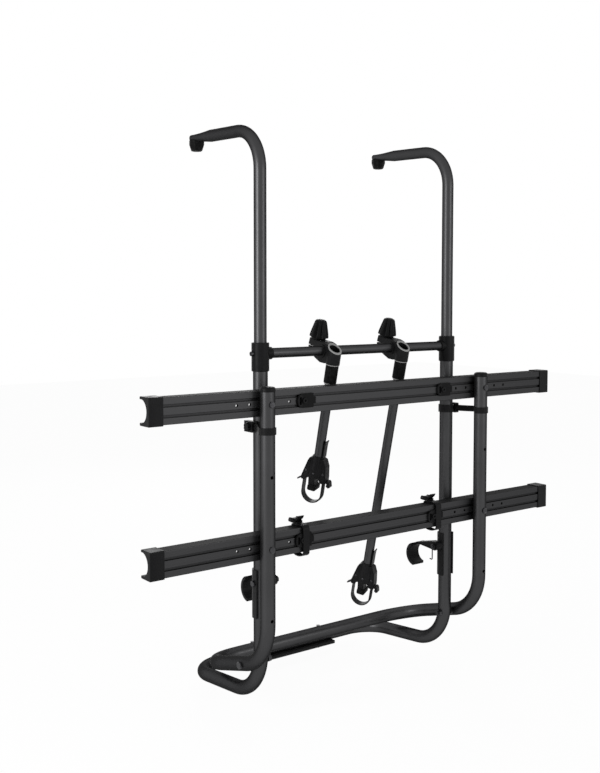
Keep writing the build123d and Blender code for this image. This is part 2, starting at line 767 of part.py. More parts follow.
def make_wheel_strap(side):
    """Wheel strap wrapped round the lower rail, hanging slack below it, with its buckle on top."""
    mid_x = lower_base_x[side] + strap_offset[side]
    section = rail_plane(mid_x, rail_heights["lower"])
    middle = ((strap_front + strap_back) / 2, (strap_top + strap_foot) / 2)
    depth = strap_back - strap_front
    rise = strap_top - strap_foot
    thick = wheel_strap_thickness
    with BuildPart() as strap:
        with BuildSketch(section):
            with Locations(middle):
                RectangleRounded(depth + 2 * thick, rise + 2 * thick, 4 + thick)
                RectangleRounded(depth, rise, 4, mode=Mode.SUBTRACT)
            with Locations((strap_back - 14, strap_top)):
                Rectangle(depth - 20, 2 * thick, align=(Align.CENTER, Align.MIN))
        extrude(amount=wheel_strap_width / 2, both=True)
        with BuildSketch(section):
            with Locations((strap_back - 17 + buckle_setback, strap_top + 2 * thick)):
                Rectangle(26, 7, align=(Align.CENTER, Align.MIN))
        extrude(amount=wheel_strap_width / 2 + 3, both=True)
        with BuildSketch(section):
            with Locations((strap_back - 18 + buckle_setback, strap_top + 2 * thick + 1.5)):
                Rectangle(32, 8, align=(Align.CENTER, Align.MIN))
        extrude(amount=wheel_strap_width / 2 - 1 + air_gap, both=True, mode=Mode.SUBTRACT)
        boss_x = lower_base_x[side] - base_boss_shift
        with Locations(facing_front(boss_x, rail_face_y + strap_front, fold_z + rail_heights["lower"])):
            Cylinder(base_boss_r + fit_gap, 4 * wheel_strap_thickness, mode=Mode.SUBTRACT)
    return strap.part


def make_wheel_lever(side):
    """Ratchet lever that lies between the cheeks of the wheel strap's buckle."""
    section = rail_plane(lower_base_x[side] + strap_offset[side], rail_heights["lower"])
    pivot = (strap_back - 10 + buckle_setback, strap_top + 2 * wheel_strap_thickness + 6.0)
    with BuildPart() as lever:
        with BuildSketch(section):
            with Locations(pivot):
                Circle(3.6)
            Polygon(
                (pivot[0] - 1, pivot[1] - 3.4),
                (pivot[0] - 14, pivot[1] - 2.6),
                (pivot[0] - 24, pivot[1] + 5.5),
                (pivot[0] - 28, pivot[1] + 12),
                (pivot[0] - 24, pivot[1] + 12),
                (pivot[0] - 14, pivot[1] + 4.4),
                (pivot[0] - 1, pivot[1] + 3.4),
                align=None,
            )
        extrude(amount=wheel_strap_width / 2 - 1, both=True)
    return lever.part


for name, side in sides.items():
    with BuildPart() as wheel_strap:
        add(make_wheel_strap(side))
    finish(wheel_strap, f"wheel_strap_{name}")
    with BuildPart() as wheel_lever:
        add(make_wheel_lever(side))
    finish(wheel_lever, f"wheel_lever_{name}")

# ================================================================ door rest
rest_floor = tube_r + rest_height - rest_wrap

with BuildPart() as door_rest:
    with BuildSketch(across(-rest_length / 2, rear_cross_y, rear_cross_z)):
        with Locations((0, -rest_floor)):
            Rectangle(rest_depth, rest_height, align=(Align.CENTER, Align.MIN))
        Circle(tube_r + fit_gap, mode=Mode.SUBTRACT)
    extrude(amount=rest_length)
    long_edges = door_rest.faces().sort_by(Axis.Z)[0].edges().filter_by(Axis.X)
    chamfer(long_edges, 2.5)
    with Locations((rest_length / 2, rear_cross_y, rear_cross_z - rest_floor)):
        Box(14, 12, 5, align=(Align.CENTER, Align.CENTER, Align.MIN))
    with Locations(*[(side * rest_bolt_x, rear_cross_y, rear_cross_z) for side in sides.values()]):
        Cylinder(rest_bolt_r + fit_gap, 4 * tube_d, mode=Mode.SUBTRACT)
finish(door_rest, "door_rest")

with BuildPart() as rest_bolts:
    for side in sides.values():
        head_seat = (side * rest_bolt_x, rear_cross_y, rear_cross_z + tube_r)
        grip = tube_r + rest_floor + 2.0
        add(fastener(head_seat, (0, 0, -1), grip, rest_bolt_r, 9.0, rest_boss_height, 7.5, 6.5, domed=True))
        with Locations((side * rest_bolt_x, rear_cross_y, rear_cross_z + tube_r + rest_boss_height)):
            Cylinder(5.0, 5.0, align=(Align.CENTER, Align.CENTER, Align.MIN))
        with BuildSketch(Plane.XY.offset(rear_cross_z - rest_floor)):
            with Locations((side * rest_bolt_x, rear_cross_y)):
                Circle(12.0)
                Circle(rest_bolt_r + run_gap, mode=Mode.SUBTRACT)
        extrude(amount=-2.0)
finish(rest_bolts, "rest_bolts")

# ================================================================ bike arms
tilt = math.radians(arm_tilt)
arm_up = Vector(0, -math.sin(tilt), math.cos(tilt))
arm_back = Vector(0, math.cos(tilt), math.sin(tilt))
liner_r = crossbar_r + run_gap + liner_wall
socket_counterbore_r = arm_tube_r + socket_shoulder
socket_d = 2 * (socket_counterbore_r + socket_wall)
socket_offset = liner_r + socket_web + socket_counterbore_r
screw_offset = liner_r + screw_reach
sleeve_d = arm_tube_d + 2 * sleeve_wall
crown = liner_r + clamp_crown
belly = liner_r + clamp_belly
knob_seat = crown - 2.0
nut_seat = 14.0
nut_pocket_r = 9.0
nut_height = 5.0
jaw_lever_pivot = (-35.4, -57.0)


def arm_section(x):
    """Plane of an arm's profile at the crossbar: local x towards the vehicle, local y up the arm."""
    return Plane(origin=(x, fold_y, crossbar_z), x_dir=arm_back, z_dir=(1, 0, 0))


def arm_cross_plane(x, offset_back, height):
    """Plane square to an arm, at a distance behind the crossbar and a height along the arm."""
    centre = Vector(x, fold_y, crossbar_z) + arm_back * offset_back + arm_up * height
    return Plane(origin=centre, x_dir=(1, 0, 0), z_dir=arm_up)


def make_liner(x):
    """Flanged sleeve that slides along the crossbar and carries the clamp."""
    half = clamp_width / 2 + air_gap
    with BuildPart() as liner:
        with BuildSketch(across(x - half - liner_flange, fold_y, crossbar_z)):
            Circle(liner_r)
        extrude(amount=2 * (half + liner_flange))
        for start in (x - half - liner_flange, x + half):
            with BuildSketch(across(start, fold_y, crossbar_z)):
                Circle(liner_r + 2)
            extrude(amount=liner_flange)
        with Locations(across(x, fold_y, crossbar_z)):
            Cylinder(crossbar_r + run_gap, 2 * clamp_width, mode=Mode.SUBTRACT)
    return liner.part


def make_clamp(x):
    """Split clamp round the crossbar, with the slanted socket of the arm in front."""
    rim_height = Vector(x, fold_y, crossbar_z) - arm_back * socket_offset + arm_up * socket_rim
    slant = math.radians(socket_rim_slant)
    rim_normal = arm_up * math.cos(slant) - arm_back * math.sin(slant)
    with BuildPart() as socket:
        with BuildSketch(arm_cross_plane(x, -socket_offset, -socket_foot)):
            Circle(socket_d / 2)
        extrude(amount=2 * socket_foot)
        split(bisect_by=Plane(origin=rim_height, z_dir=rim_normal), keep=Keep.BOTTOM)
    with BuildPart() as clamp:
        with BuildSketch(arm_section(x)):
            Polygon(
                (-socket_offset, 12),
                (-14, crown - 2),
                (0, crown),
                (14, crown - 1),
                (screw_offset - 16, knob_seat),
                (screw_offset + 16, knob_seat),
                (screw_offset + 18, 6),
                (screw_offset + 16, -11),
                (screw_offset - 13, 6 - belly),
                (4, -belly),
                (-14, 2 - belly),
                (-socket_offset, -22),
                align=None,
            )
        extrude(amount=clamp_width / 2, both=True)
        side_faces = clamp.faces().sort_by(Axis.X)
        chamfer([*side_faces[0].edges(), *side_faces[-1].edges()], 1.5)
        add(socket.part)
        with BuildSketch(arm_cross_plane(x, -socket_offset, 0)):
            Circle(socket_counterbore_r)
        extrude(amount=2 * socket_foot, mode=Mode.SUBTRACT)
        with BuildSketch(arm_cross_plane(x, -socket_offset, -2 * socket_foot)):
            Circle(arm_tube_r + run_gap)
        extrude(amount=3 * socket_foot, mode=Mode.SUBTRACT)
        with BuildSketch(arm_section(x)):
            Circle(liner_r + run_gap)
            with Locations((liner_r + 30, 2)):
                Rectangle(60 + 4, 3)
        extrude(amount=clamp_width, both=True, mode=Mode.SUBTRACT)
        with BuildSketch(arm_cross_plane(x, screw_offset, -60)):
            Circle(clamp_screw_r + fit_gap)
        extrude(amount=120, mode=Mode.SUBTRACT)
        with BuildSketch(arm_cross_plane(x, screw_offset, -nut_seat)):
            Circle(nut_pocket_r)
        extrude(amount=-socket_foot, mode=Mode.SUBTRACT)
        with BuildSketch(Plane(origin=rim_height, z_dir=rim_normal)):
            Circle(socket_d * 0.6)
        extrude(amount=socket_foot, mode=Mode.SUBTRACT)
        with BuildSketch(arm_cross_plane(x, -socket_offset, -socket_foot)):
            Circle(socket_d / 2)
        extrude(amount=-socket_foot, mode=Mode.SUBTRACT)
    return clamp.part


def make_trim(x):
    """Light trims of the socket: one on its slanted rim and one round its foot."""
    rim_point = Vector(x, fold_y, crossbar_z) - arm_back * socket_offset + arm_up * socket_rim
    slant = math.radians(socket_rim_slant)
    rim_normal = arm_up * math.cos(slant) - arm_back * math.sin(slant)
    rim_plane = Plane(origin=rim_point, z_dir=rim_normal)
    with BuildPart() as rim:
        with BuildSketch(arm_cross_plane(x, -socket_offset, -socket_foot)):
            Circle(socket_d / 2)
            Circle(socket_counterbore_r + 0.4, mode=Mode.SUBTRACT)
        extrude(amount=2 * socket_foot)
        split(bisect_by=rim_plane, keep=Keep.TOP)
        split(bisect_by=rim_plane.offset(2.0), keep=Keep.BOTTOM)
    with BuildPart() as ring:
        with BuildSketch(arm_cross_plane(x, -socket_offset, -socket_foot - 0.1)):
            Circle(socket_d / 2 - 0.5)
            Circle(arm_tube_r + air_gap, mode=Mode.SUBTRACT)
        extrude(amount=-2.0)
    with BuildPart() as trim:
        add(rim.part)
        add(ring.part)
    return trim.part


def knob_outline(radius):
    """Corners of the knob's lobed section, lobes and flutes in turn."""
    turns = [math.pi * step / knob_flutes for step in range(2 * knob_flutes)]
    reaches = [radius, radius - knob_flute_depth] * knob_flutes
    return [(reach * math.cos(turn), reach * math.sin(turn)) for reach, turn in zip(reaches, turns)]


def make_knob(x):
    """Tapered fluted knob that tightens the clamp."""
    foot = arm_cross_plane(x, screw_offset, knob_seat + air_gap)
    with BuildPart() as knob:
        for height, radius in ((3.0, knob_foot_radius), (knob_height, knob_top_radius)):
            with BuildSketch(foot.offset(height)):
                Polygon(*knob_outline(radius), align=None)
        loft(ruled=True)
        with BuildSketch(foot):
            Circle(knob_foot_radius * 0.7)
        extrude(amount=3.0)
        with BuildSketch(foot):
            Circle(clamp_screw_r + run_gap)
        extrude(amount=knob_height * 0.6, mode=Mode.SUBTRACT)
    return knob.part


for name, (x, jaw_drop) in arm_places.items():
    with BuildPart() as liner:
        add(make_liner(x))
    finish(liner, f"{name}_arm_liner")

    with BuildPart() as clamp:
        add(make_clamp(x))
    finish(clamp, f"{name}_arm_clamp")

    with BuildPart() as trim:
        add(make_trim(x))
    finish(trim, f"{name}_arm_trim")

    with BuildPart() as knob:
        add(make_knob(x))
    finish(knob, f"{name}_arm_knob")

    screw_foot = -nut_seat - nut_height - air_gap
    with BuildPart() as clamp_screw:
        with BuildSketch(arm_cross_plane(x, screw_offset, screw_foot)):
            Circle(clamp_screw_r)
        extrude(amount=knob_seat - screw_foot + knob_height * 0.5)
        with BuildSketch(arm_cross_plane(x, screw_offset, screw_foot)):
            RegularPolygon(8.0, 6)
        extrude(amount=nut_height)
    finish(clamp_screw, f"{name}_arm_screw")

    # the arm proper: local heights are measured down from the crossbar
    with BuildPart() as arm_tube:
        with BuildSketch(arm_cross_plane(x, -socket_offset, 3.0)):
            Circle(arm_tube_r)
            Circle(arm_tube_r - arm_tube_wall, mode=Mode.SUBTRACT)
        extrude(amount=-(jaw_drop + jaw_seat_depth))
        with BuildSketch(arm_cross_plane(x, -socket_offset, air_gap)):
            Circle(socket_counterbore_r - air_gap)
            Circle(arm_tube_r - arm_tube_wall, mode=Mode.SUBTRACT)
        extrude(amount=3.0)
    finish(arm_tube, f"{name}_arm_tube")

    sleeve_top = -(socket_foot + 2.4)
    with BuildPart() as sleeve:
        with BuildSketch(arm_cross_plane(x, -socket_offset, sleeve_top)):
            Circle(sleeve_d / 2)
            with PolarLocations(sleeve_d / 2 + 2.4, 10):
                Circle(3.0, mode=Mode.SUBTRACT)
            Circle(arm_tube_r + fit_gap, mode=Mode.SUBTRACT)
        extrude(amount=-sleeve_length)
    finish(sleeve, f"{name}_arm_sleeve")

    with BuildPart() as ferrule:
        with BuildSketch(arm_cross_plane(x, -socket_offset, sleeve_top - sleeve_length - 0.1)):
            Circle(sleeve_d / 2 - 1.5)
            Circle(arm_tube_r + fit_gap, mode=Mode.SUBTRACT)
        extrude(amount=-3.0)
    finish(ferrule, f"{name}_arm_ferrule")

    # jaw, in a plane turned about the arm: local x across the jaw, local y up the arm
    swivel = math.radians(jaw_swivel)
    jaw_across = arm_back * math.cos(swivel) - Vector(1, 0, 0) * math.sin(swivel)
    jaw_origin = Vector(x, fold_y, crossbar_z) - arm_back * socket_offset - arm_up * jaw_drop
    jaw_plane = Plane(origin=jaw_origin, x_dir=jaw_across, z_dir=jaw_across.cross(arm_up))

    with BuildPart() as jaw:
        with BuildSketch(jaw_plane):
            with BuildLine():
                Polyline(
                    (-13, 1), (15, 1), (19, -1), (23, -9), (35, -52), (34, -62), (24, -62), (19, -55), (15, -52),
                    (13, -74), (7, -82), (-8, -79), (-3, -66), (-2, -55), (-10, -52), (-18, -62), (-31, -62),
                    (-30.5, -46), (-27, -18), (-20, -2), (-13, 1),
                )
            make_face()
            fillet(vertices(), 1.8)
        extrude(amount=jaw_thickness / 2, both=True)
        with BuildSketch(jaw_plane):
            Polygon((33, -54), (48, -66), (47, -69), (33, -60), align=None)
        extrude(amount=jaw_thickness / 5, both=True)
        with BuildSketch(Plane(origin=jaw_origin + arm_up * 4, z_dir=arm_up)):
            Circle(arm_tube_r + 3.5)
        extrude(amount=-(jaw_seat_depth + 6))
        with BuildSketch(Plane(origin=jaw_origin + arm_up * 6, z_dir=arm_up)):
            Circle(arm_tube_r + fit_gap)
        extrude(amount=-(jaw_seat_depth + 4), mode=Mode.SUBTRACT)
    finish(jaw, f"{name}_arm_jaw")

    with BuildPart() as cushion:
        with BuildSketch(jaw_plane):
            with Locations((2.5, -78)):
                RectangleRounded(22, 15, 4)
        extrude(amount=jaw_thickness / 2 + 2.5, both=True)
        add(jaw.part, mode=Mode.SUBTRACT)
    finish(cushion, f"{name}_arm_cushion")

    with BuildPart() as jaw_strap:
        band = 3.0
        with BuildSketch(jaw_plane):
            with Locations((jaw_strap_shift, -jaw_strap_drop)):
                Circle(jaw_strap_radius + band / 2)
                Rectangle(2 * jaw_strap_radius + band, jaw_strap_drop - 62 - air_gap, align=(Align.CENTER, Align.MIN))
                Circle(jaw_strap_radius - band / 2, mode=Mode.SUBTRACT)
                Rectangle(2 * jaw_strap_radius - band, jaw_strap_drop, align=(Align.CENTER, Align.MIN), mode=Mode.SUBTRACT)
            with Locations((-arm_tube_r - 1.0 - band / 2, 4 + fit_gap)):
                Rectangle(band, jaw_strap_tail, align=(Align.CENTER, Align.MIN))
        extrude(amount=jaw_strap_width / 2, both=True)
    finish(jaw_strap, f"{name}_arm_strap")

    with BuildPart() as jaw_lever:
        with BuildSketch(jaw_plane):
            with Locations(jaw_lever_pivot):
                Circle(4)
                Polygon((1.1, -3), (2.6, -10), (-3.5, -13.5), (-7.5, -11), (-4.4, 2), align=None)
        extrude(amount=jaw_thickness / 2 - 4, both=True)
    finish(jaw_lever, f"{name}_arm_lever")
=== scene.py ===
import json
import math

import bmesh
import bpy
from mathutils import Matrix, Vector


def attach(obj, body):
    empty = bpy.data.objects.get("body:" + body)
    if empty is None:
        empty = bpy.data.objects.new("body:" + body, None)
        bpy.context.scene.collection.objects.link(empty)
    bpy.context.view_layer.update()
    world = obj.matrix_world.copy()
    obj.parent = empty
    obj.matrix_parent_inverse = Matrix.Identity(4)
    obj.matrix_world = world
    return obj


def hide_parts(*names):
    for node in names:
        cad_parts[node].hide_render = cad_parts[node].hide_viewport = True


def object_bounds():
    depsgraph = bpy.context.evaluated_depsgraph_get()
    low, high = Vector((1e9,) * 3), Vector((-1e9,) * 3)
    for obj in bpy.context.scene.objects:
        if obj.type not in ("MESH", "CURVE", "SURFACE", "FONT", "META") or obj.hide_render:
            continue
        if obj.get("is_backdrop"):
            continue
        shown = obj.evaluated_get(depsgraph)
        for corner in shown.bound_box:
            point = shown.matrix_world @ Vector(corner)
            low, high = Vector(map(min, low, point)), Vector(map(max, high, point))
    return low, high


bl_info = {
    "name": "Door Bicycle Rack",
    "version": (1, 0, 0),
    "blender": (4, 5, 0),
    "location": "View3D > Sidebar > Rack",
    "description": "Finishes, straps, knobs and studio for a folding bicycle rack",
    "category": "Object",
}

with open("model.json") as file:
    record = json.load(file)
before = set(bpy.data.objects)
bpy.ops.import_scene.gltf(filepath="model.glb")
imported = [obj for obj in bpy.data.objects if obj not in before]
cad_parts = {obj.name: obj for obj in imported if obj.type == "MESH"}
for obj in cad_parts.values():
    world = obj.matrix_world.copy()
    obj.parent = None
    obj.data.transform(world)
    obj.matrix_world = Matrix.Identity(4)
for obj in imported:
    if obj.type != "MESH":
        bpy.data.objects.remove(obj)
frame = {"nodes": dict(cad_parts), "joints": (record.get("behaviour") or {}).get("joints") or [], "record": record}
cad_low, cad_high = (list(corner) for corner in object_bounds())
nodes = frame["nodes"]
joints = {joint["name"]: joint for joint in frame["joints"]}

MM = 0.001
# reflection of the black mouldings, set low so that they stay near black in white surroundings
PLASTIC_SHEEN = 0.07
RUBBER_SHEEN = 0.06
# tint of the metals' grazing reflection, which darkens the tubes' outlines
EDGE_TINT = "#1c1c1c"
ARMS = ("short", "long")
SIDES = {"left": -1, "right": 1}


def linear(code, alpha=1.0):
    """Turn an sRGB hex colour into the linear values that shaders take."""
    parts = [int(code[i : i + 2], 16) / 255 for i in (1, 3, 5)]
    steps = [p / 12.92 if p <= 0.04045 else ((p + 0.055) / 1.055) ** 2.4 for p in parts]
    return (*steps, alpha)


def colour_prop(name, description, code):
    """A colour the user can change, given as sRGB hex."""
    return bpy.props.FloatVectorProperty(
        name=name, description=description, subtype="COLOR", size=4, min=0, max=1, default=linear(code)
    )


def size_prop(name, description, millimetres):
    """A length the user can change, given in millimetres."""
    return bpy.props.FloatProperty(
        name=name, description=description, subtype="DISTANCE", unit="LENGTH", default=millimetres * MM
    )


class RackFinish(bpy.types.PropertyGroup):
    tube: colour_prop("Tube", "Anodised tube colour", "#434344")
    rail: colour_prop("Rail", "Anodised rail colour", "#3f3f40")
    nylon: colour_prop("Nylon", "Moulded nylon colour", "#0a0a0b")
    rubber: colour_prop("Rubber", "Rubber colour", "#0a0a0a")
    strap: colour_prop("Strap", "Ratchet strap colour", "#0b0b0c")
    plating: colour_prop("Plating", "Plated steel colour", "#4a4a4c")
    trim: colour_prop("Trim", "Light trim ring colour", "#8f8f8e")


class RackStraps(bpy.types.PropertyGroup):
    tooth_pitch: size_prop("Tooth pitch", "Distance between the straps' teeth", 3.0)
    tooth_height: size_prop("Tooth height", "How far the teeth stand up", 0.9)
    plain_edge: size_prop("Plain edge", "Flat strip beside the teeth", 2.2)
    thickness: size_prop("Thickness", "Thickness of the wheel and jaw straps", 2.5)
    width: size_prop("Width", "Width of the wheel straps", 18.0)
    slack: size_prop("Slack", "How far the wheel straps hang below their rail", 11.0)
    front_gap: size_prop("Front gap", "Between the rail's face and a wheel strap", 5.4)
    back_gap: size_prop("Back gap", "Between the rail's back or top and a wheel strap", 1.5)
    cheek_spread: size_prop("Cheek spread", "From a buckle's middle to the middle of a cheek", 10.1)
    cheek_depth: size_prop("Cheek depth", "Thickness of a buckle's cheek", 3.0)


class RackHold(bpy.types.PropertyGroup):
    width: size_prop("Width", "Width of the hold straps", 16.0)
    thickness: size_prop("Thickness", "Thickness of the hold straps", 2.6)
    tail_x: size_prop("Tail place", "From the rack's middle to a strap's tail", 333.2)
    tail_back: size_prop("Tail end", "How far a tail reaches behind its rear tube", 14.0)
    tail_front: size_prop("Tail bend", "How far in front of its rear tube a tail bends", 22.0)
    cap_margin: size_prop("Cap margin", "How far the tube caps stand out beyond the straps' inside", 0.7)


class RackJaws(bpy.types.PropertyGroup):
    half_thickness: size_prop("Half thickness", "From a jaw's middle to its flat face", 13.0)
    rim_radius: size_prop("Rim radius", "Radius of the raised rims", 0.9)
    lever_side: size_prop("Lever side", "From the arm's axis to the lever's pin", 35.4)
    lever_drop: size_prop("Lever drop", "From the jaw's top to the lever's pin", 57.0)
    strap_width: size_prop("Strap width", "Width of the jaw straps", 20.0)
    loop_radius: size_prop("Loop radius", "Radius of a jaw strap's loop", 26.0)
    loop_drop: size_prop("Loop drop", "From the jaw's top to the middle of the loop", 92.5)
    loop_shift: size_prop("Loop shift", "The loop's place beside the arm's axis", 3.0)
    mouth_drop: size_prop("Mouth drop", "From the jaw's top to where the loop leaves it", 62.3)
    tail_side: size_prop("Tail side", "From the arm's axis to the strap's free end", 14.5)
    tail_foot: size_prop("Tail foot", "Where the free end leaves the jaw, above its top", 4.3)
    tail_length: size_prop("Tail length", "Length of the strap's free end", 43.0)
    tail_curl: size_prop("Tail curl", "How far the free end's tip leans out", 2.0)


class RackKnobs(bpy.types.PropertyGroup):
    foot_radius: size_prop("Foot radius", "Radius at the knob's foot", 24.0)
    height: size_prop("Height", "Height of the knob above its washer", 49.0)
    pivot_height: size_prop("Pivot height", "From the knob's foot up to its joint's place", 19.7)
    flutes: bpy.props.IntProperty(name="Flutes", description="Finger flutes round the knob", default=8, min=3)


class RackStage(bpy.types.PropertyGroup):
    lens: bpy.props.FloatProperty(name="Lens", description="Focal length in mm", default=46.70)
    shift: bpy.props.FloatProperty(name="Shift", description="Vertical camera shift", default=-0.0464)
    camera: bpy.props.FloatVectorProperty(
        name="Camera",
        description="Camera place",
        subtype="TRANSLATION",
        size=3,
        default=(-1.6362, -2.2237, -0.3619),
    )
    azimuth: bpy.props.FloatProperty(
        name="Azimuth",
        description="Camera direction round the rack",
        subtype="ANGLE",
        default=math.radians(-36.71),
    )
    elevation: bpy.props.FloatProperty(
        name="Elevation", description="Camera angle above level", subtype="ANGLE", default=math.radians(3.25)
    )
    key_power: bpy.props.FloatProperty(name="Key light", description="Main lamp in watts", default=62.0)
    fill_power: bpy.props.FloatProperty(name="Fill light", description="Second lamp in watts", default=24.0)
    sky: bpy.props.FloatProperty(name="Sky", description="Strength of the even studio light", default=0.55)
    whiteness: bpy.props.FloatProperty(
        name="Whiteness", description="How white the paper is seen", default=0.95
    )


# ---------------------------------------------------------------- materials


def add_node(tree, kind, settings=None, **inputs):
    """Add a shader node, set its options, and set or link its inputs by name."""
    node = tree.nodes.new(kind)
    for key, value in (settings or {}).items():
        setattr(node, key, value)
    for key, value in inputs.items():
        numbered = key.startswith("in") and key[2:].isdigit()
        socket = node.inputs[int(key[2:]) if numbered else key.replace("_", " ")]
        if isinstance(value, bpy.types.NodeSocket):
            tree.links.new(value, socket)
        else:
            socket.default_value = value
    return node


def mix_colours(tree, share, first, second):
    """The blend of two colours by a share of the second."""
    settings = {"data_type": "RGBA"}
    return add_node(tree, "ShaderNodeMix", settings, Factor=share, in6=first, in7=second).outputs[2]


def remap(tree, value, span, result):
    """A value carried from one span of numbers to another, and held inside it."""
    return add_node(
        tree, "ShaderNodeMapRange", in0=value, in1=span[0], in2=span[1], in3=result[0], in4=result[1]
    ).outputs[0]


def calculate(tree, operation, first, second):
    """A sum or product of two values, held between 0 and 1."""
    settings = {"operation": operation, "use_clamp": True}
    return add_node(tree, "ShaderNodeMath", settings, in0=first, in1=second).outputs[0]


def new_material(name):
    """An empty node material with its output, and its object coordinates."""
    material = bpy.data.materials.new(name)
    material.use_nodes = True
    tree = material.node_tree
    tree.nodes.clear()
    where = add_node(tree, "ShaderNodeTexCoord").outputs["Object"]
    return material, tree, where


def close_material(tree, shader):
    """Wire the finished shader to the material's output."""
    add_node(tree, "ShaderNodeOutputMaterial", Surface=shader.outputs[0])


def wear_mix(tree, base, worn, where, amount, edge_scale):
    """Mix a worn colour in along sharp edges, broken up by fine noise."""
    pointy = add_node(tree, "ShaderNodeNewGeometry").outputs["Pointiness"]
    edge = remap(tree, pointy, (0.52, 0.60), (0.0, amount))
    patch = add_node(tree, "ShaderNodeTexNoise", Vector=where, Scale=edge_scale, Detail=3.0)
    mask = calculate(tree, "MULTIPLY", edge, patch.outputs[0])
    return mix_colours(tree, mask, base, worn)


def painted_groove_shade(tree, colour, depth):
    """Painted shade: darken a colour in grooves and corners, where nearby surfaces close in round a point."""
    settings = {"samples": 8, "only_local": True}
    nearness = add_node(tree, "ShaderNodeAmbientOcclusion", settings, Distance=depth)
    unshaded_share = remap(tree, nearness.outputs["AO"], (0.35, 0.85), (0.12, 1.0))
    return add_node(
        tree, "ShaderNodeMix", {"data_type": "RGBA", "blend_type": "MULTIPLY"},
        Factor=1.0, in6=colour, in7=unshaded_share,
    ).outputs[2]


def anodised_tube(finish):
    """Drawn aluminium tube, dyed grey and anodised: satin, with a faint fine grain."""
    material, tree, where = new_material("anodised_aluminium_drawn")
    cloud = add_node(tree, "ShaderNodeTexNoise", Vector=where, Scale=14.0, Detail=3.0)
    dark = [c * 0.86 for c in finish.tube[:3]] + [1]
    light = [min(c * 1.12, 1) for c in finish.tube[:3]] + [1]
    colour = mix_colours(tree, cloud.outputs[0], dark, light)
    # etched grain, 0.4 mm in the metal and drawn at 1 mm so that it shows
    grain = add_node(tree, "ShaderNodeTexNoise", Vector=where, Scale=1 / (1.0 * MM), Detail=2.0)
    rough = remap(tree, grain.outputs[0], (0.3, 0.7), (0.34, 0.46))
    bump = add_node(tree, "ShaderNodeBump", Strength=0.05, Distance=0.0002, Height=grain.outputs[0])
    shader = add_node(
        tree, "ShaderNodeBsdfPrincipled", Base_Color=colour, Metallic=0.9,
        Roughness=rough, Specular_Tint=linear(EDGE_TINT), Normal=bump.outputs[0],
    )
    close_material(tree, shader)
    return material


def anodised_rail(finish):
    """Extruded aluminium rail, dyed dark and anodised: die lines run along it, 1.2 mm apart."""
    material, tree, where = new_material("anodised_aluminium_extruded")
    lengthwise = add_node(tree, "ShaderNodeMapping", Vector=where, Scale=(2.0, 800.0, 800.0))
    lines = add_node(tree, "ShaderNodeTexNoise", Vector=lengthwise.outputs[0], Scale=1.0, Detail=4.0)
    dark = [c * 0.82 for c in finish.rail[:3]] + [1]
    light = [min(c * 1.15, 1) for c in finish.rail[:3]] + [1]
    colour = mix_colours(tree, lines.outputs[0], dark, light)
    # painted shade darkens the rail's grooves and corners
    hollows = painted_groove_shade(tree, colour, 9 * MM)
    rough = remap(tree, lines.outputs[0], (0.3, 0.7), (0.36, 0.52))
    bump = add_node(tree, "ShaderNodeBump", Strength=0.08, Distance=0.0003, Height=lines.outputs[0])
    shader = add_node(
        tree, "ShaderNodeBsdfPrincipled", Base_Color=hollows, Metallic=0.85,
        Roughness=rough, Specular_Tint=linear(EDGE_TINT), Normal=bump.outputs[0],
    )
    close_material(tree, shader)
    return material


def moulded_nylon(finish):
    """Injection moulded, glass-filled nylon: black, semi-matt, with a fine spark-eroded grain."""
    material, tree, where = new_material("glass_filled_nylon_moulded")
    grain = add_node(tree, "ShaderNodeTexVoronoi", Vector=where, Scale=1 / (1.1 * MM))
    cloud = add_node(tree, "ShaderNodeTexNoise", Vector=where, Scale=60.0, Detail=2.0)
    rough = remap(tree, cloud.outputs[0], (0.3, 0.7), (0.38, 0.52))
    worn = [c * 3 + 0.02 for c in finish.nylon[:3]] + [1]
    colour = wear_mix(tree, finish.nylon, worn, where, 0.5, 300.0)
    bump = add_node(tree, "ShaderNodeBump", Strength=0.12, Distance=0.0002, Height=grain.outputs[0])
    shader = add_node(
        tree, "ShaderNodeBsdfPrincipled", Base_Color=colour, Roughness=rough,
        IOR=1.53, Specular_IOR_Level=PLASTIC_SHEEN, Normal=bump.outputs[0],
    )
    close_material(tree, shader)
    return material


def moulded_rubber(finish):
    """Compression moulded rubber: black and dull, slightly dusty in patches."""
    material, tree, where = new_material("rubber_moulded")
    dust = add_node(tree, "ShaderNodeTexNoise", Vector=where, Scale=120.0, Detail=5.0)
    dusty = [c * 2 + 0.012 for c in finish.rubber[:3]] + [1]
    amount = remap(tree, dust.outputs[0], (0.45, 0.8), (0.0, 0.7))
    colour = mix_colours(tree, amount, finish.rubber, dusty)
    bump = add_node(tree, "ShaderNodeBump", Strength=0.15, Distance=0.0003, Height=dust.outputs[0])
    shader = add_node(
        tree, "ShaderNodeBsdfPrincipled", Base_Color=colour, Roughness=0.62,
        IOR=1.52, Specular_IOR_Level=RUBBER_SHEEN, Normal=bump.outputs[0],
    )
    close_material(tree, shader)
    return material


def moulded_strap(finish):
    """Injection moulded strap plastic: flexible, black and a little glossy."""
    material, tree, where = new_material("polyurethane_strap_moulded")
    mottle = add_node(tree, "ShaderNodeTexNoise", Vector=where, Scale=200.0, Detail=3.0)
    rough = remap(tree, mottle.outputs[0], (0.3, 0.7), (0.32, 0.48))
    worn = [c * 3 + 0.02 for c in finish.strap[:3]] + [1]
    colour = wear_mix(tree, finish.strap, worn, where, 0.4, 400.0)
    bump = add_node(tree, "ShaderNodeBump", Strength=0.06, Distance=0.0002, Height=mottle.outputs[0])
    shader = add_node(
        tree, "ShaderNodeBsdfPrincipled", Base_Color=colour, Roughness=rough,
        IOR=1.5, Specular_IOR_Level=PLASTIC_SHEEN, Normal=bump.outputs[0],
    )
    close_material(tree, shader)
    return material


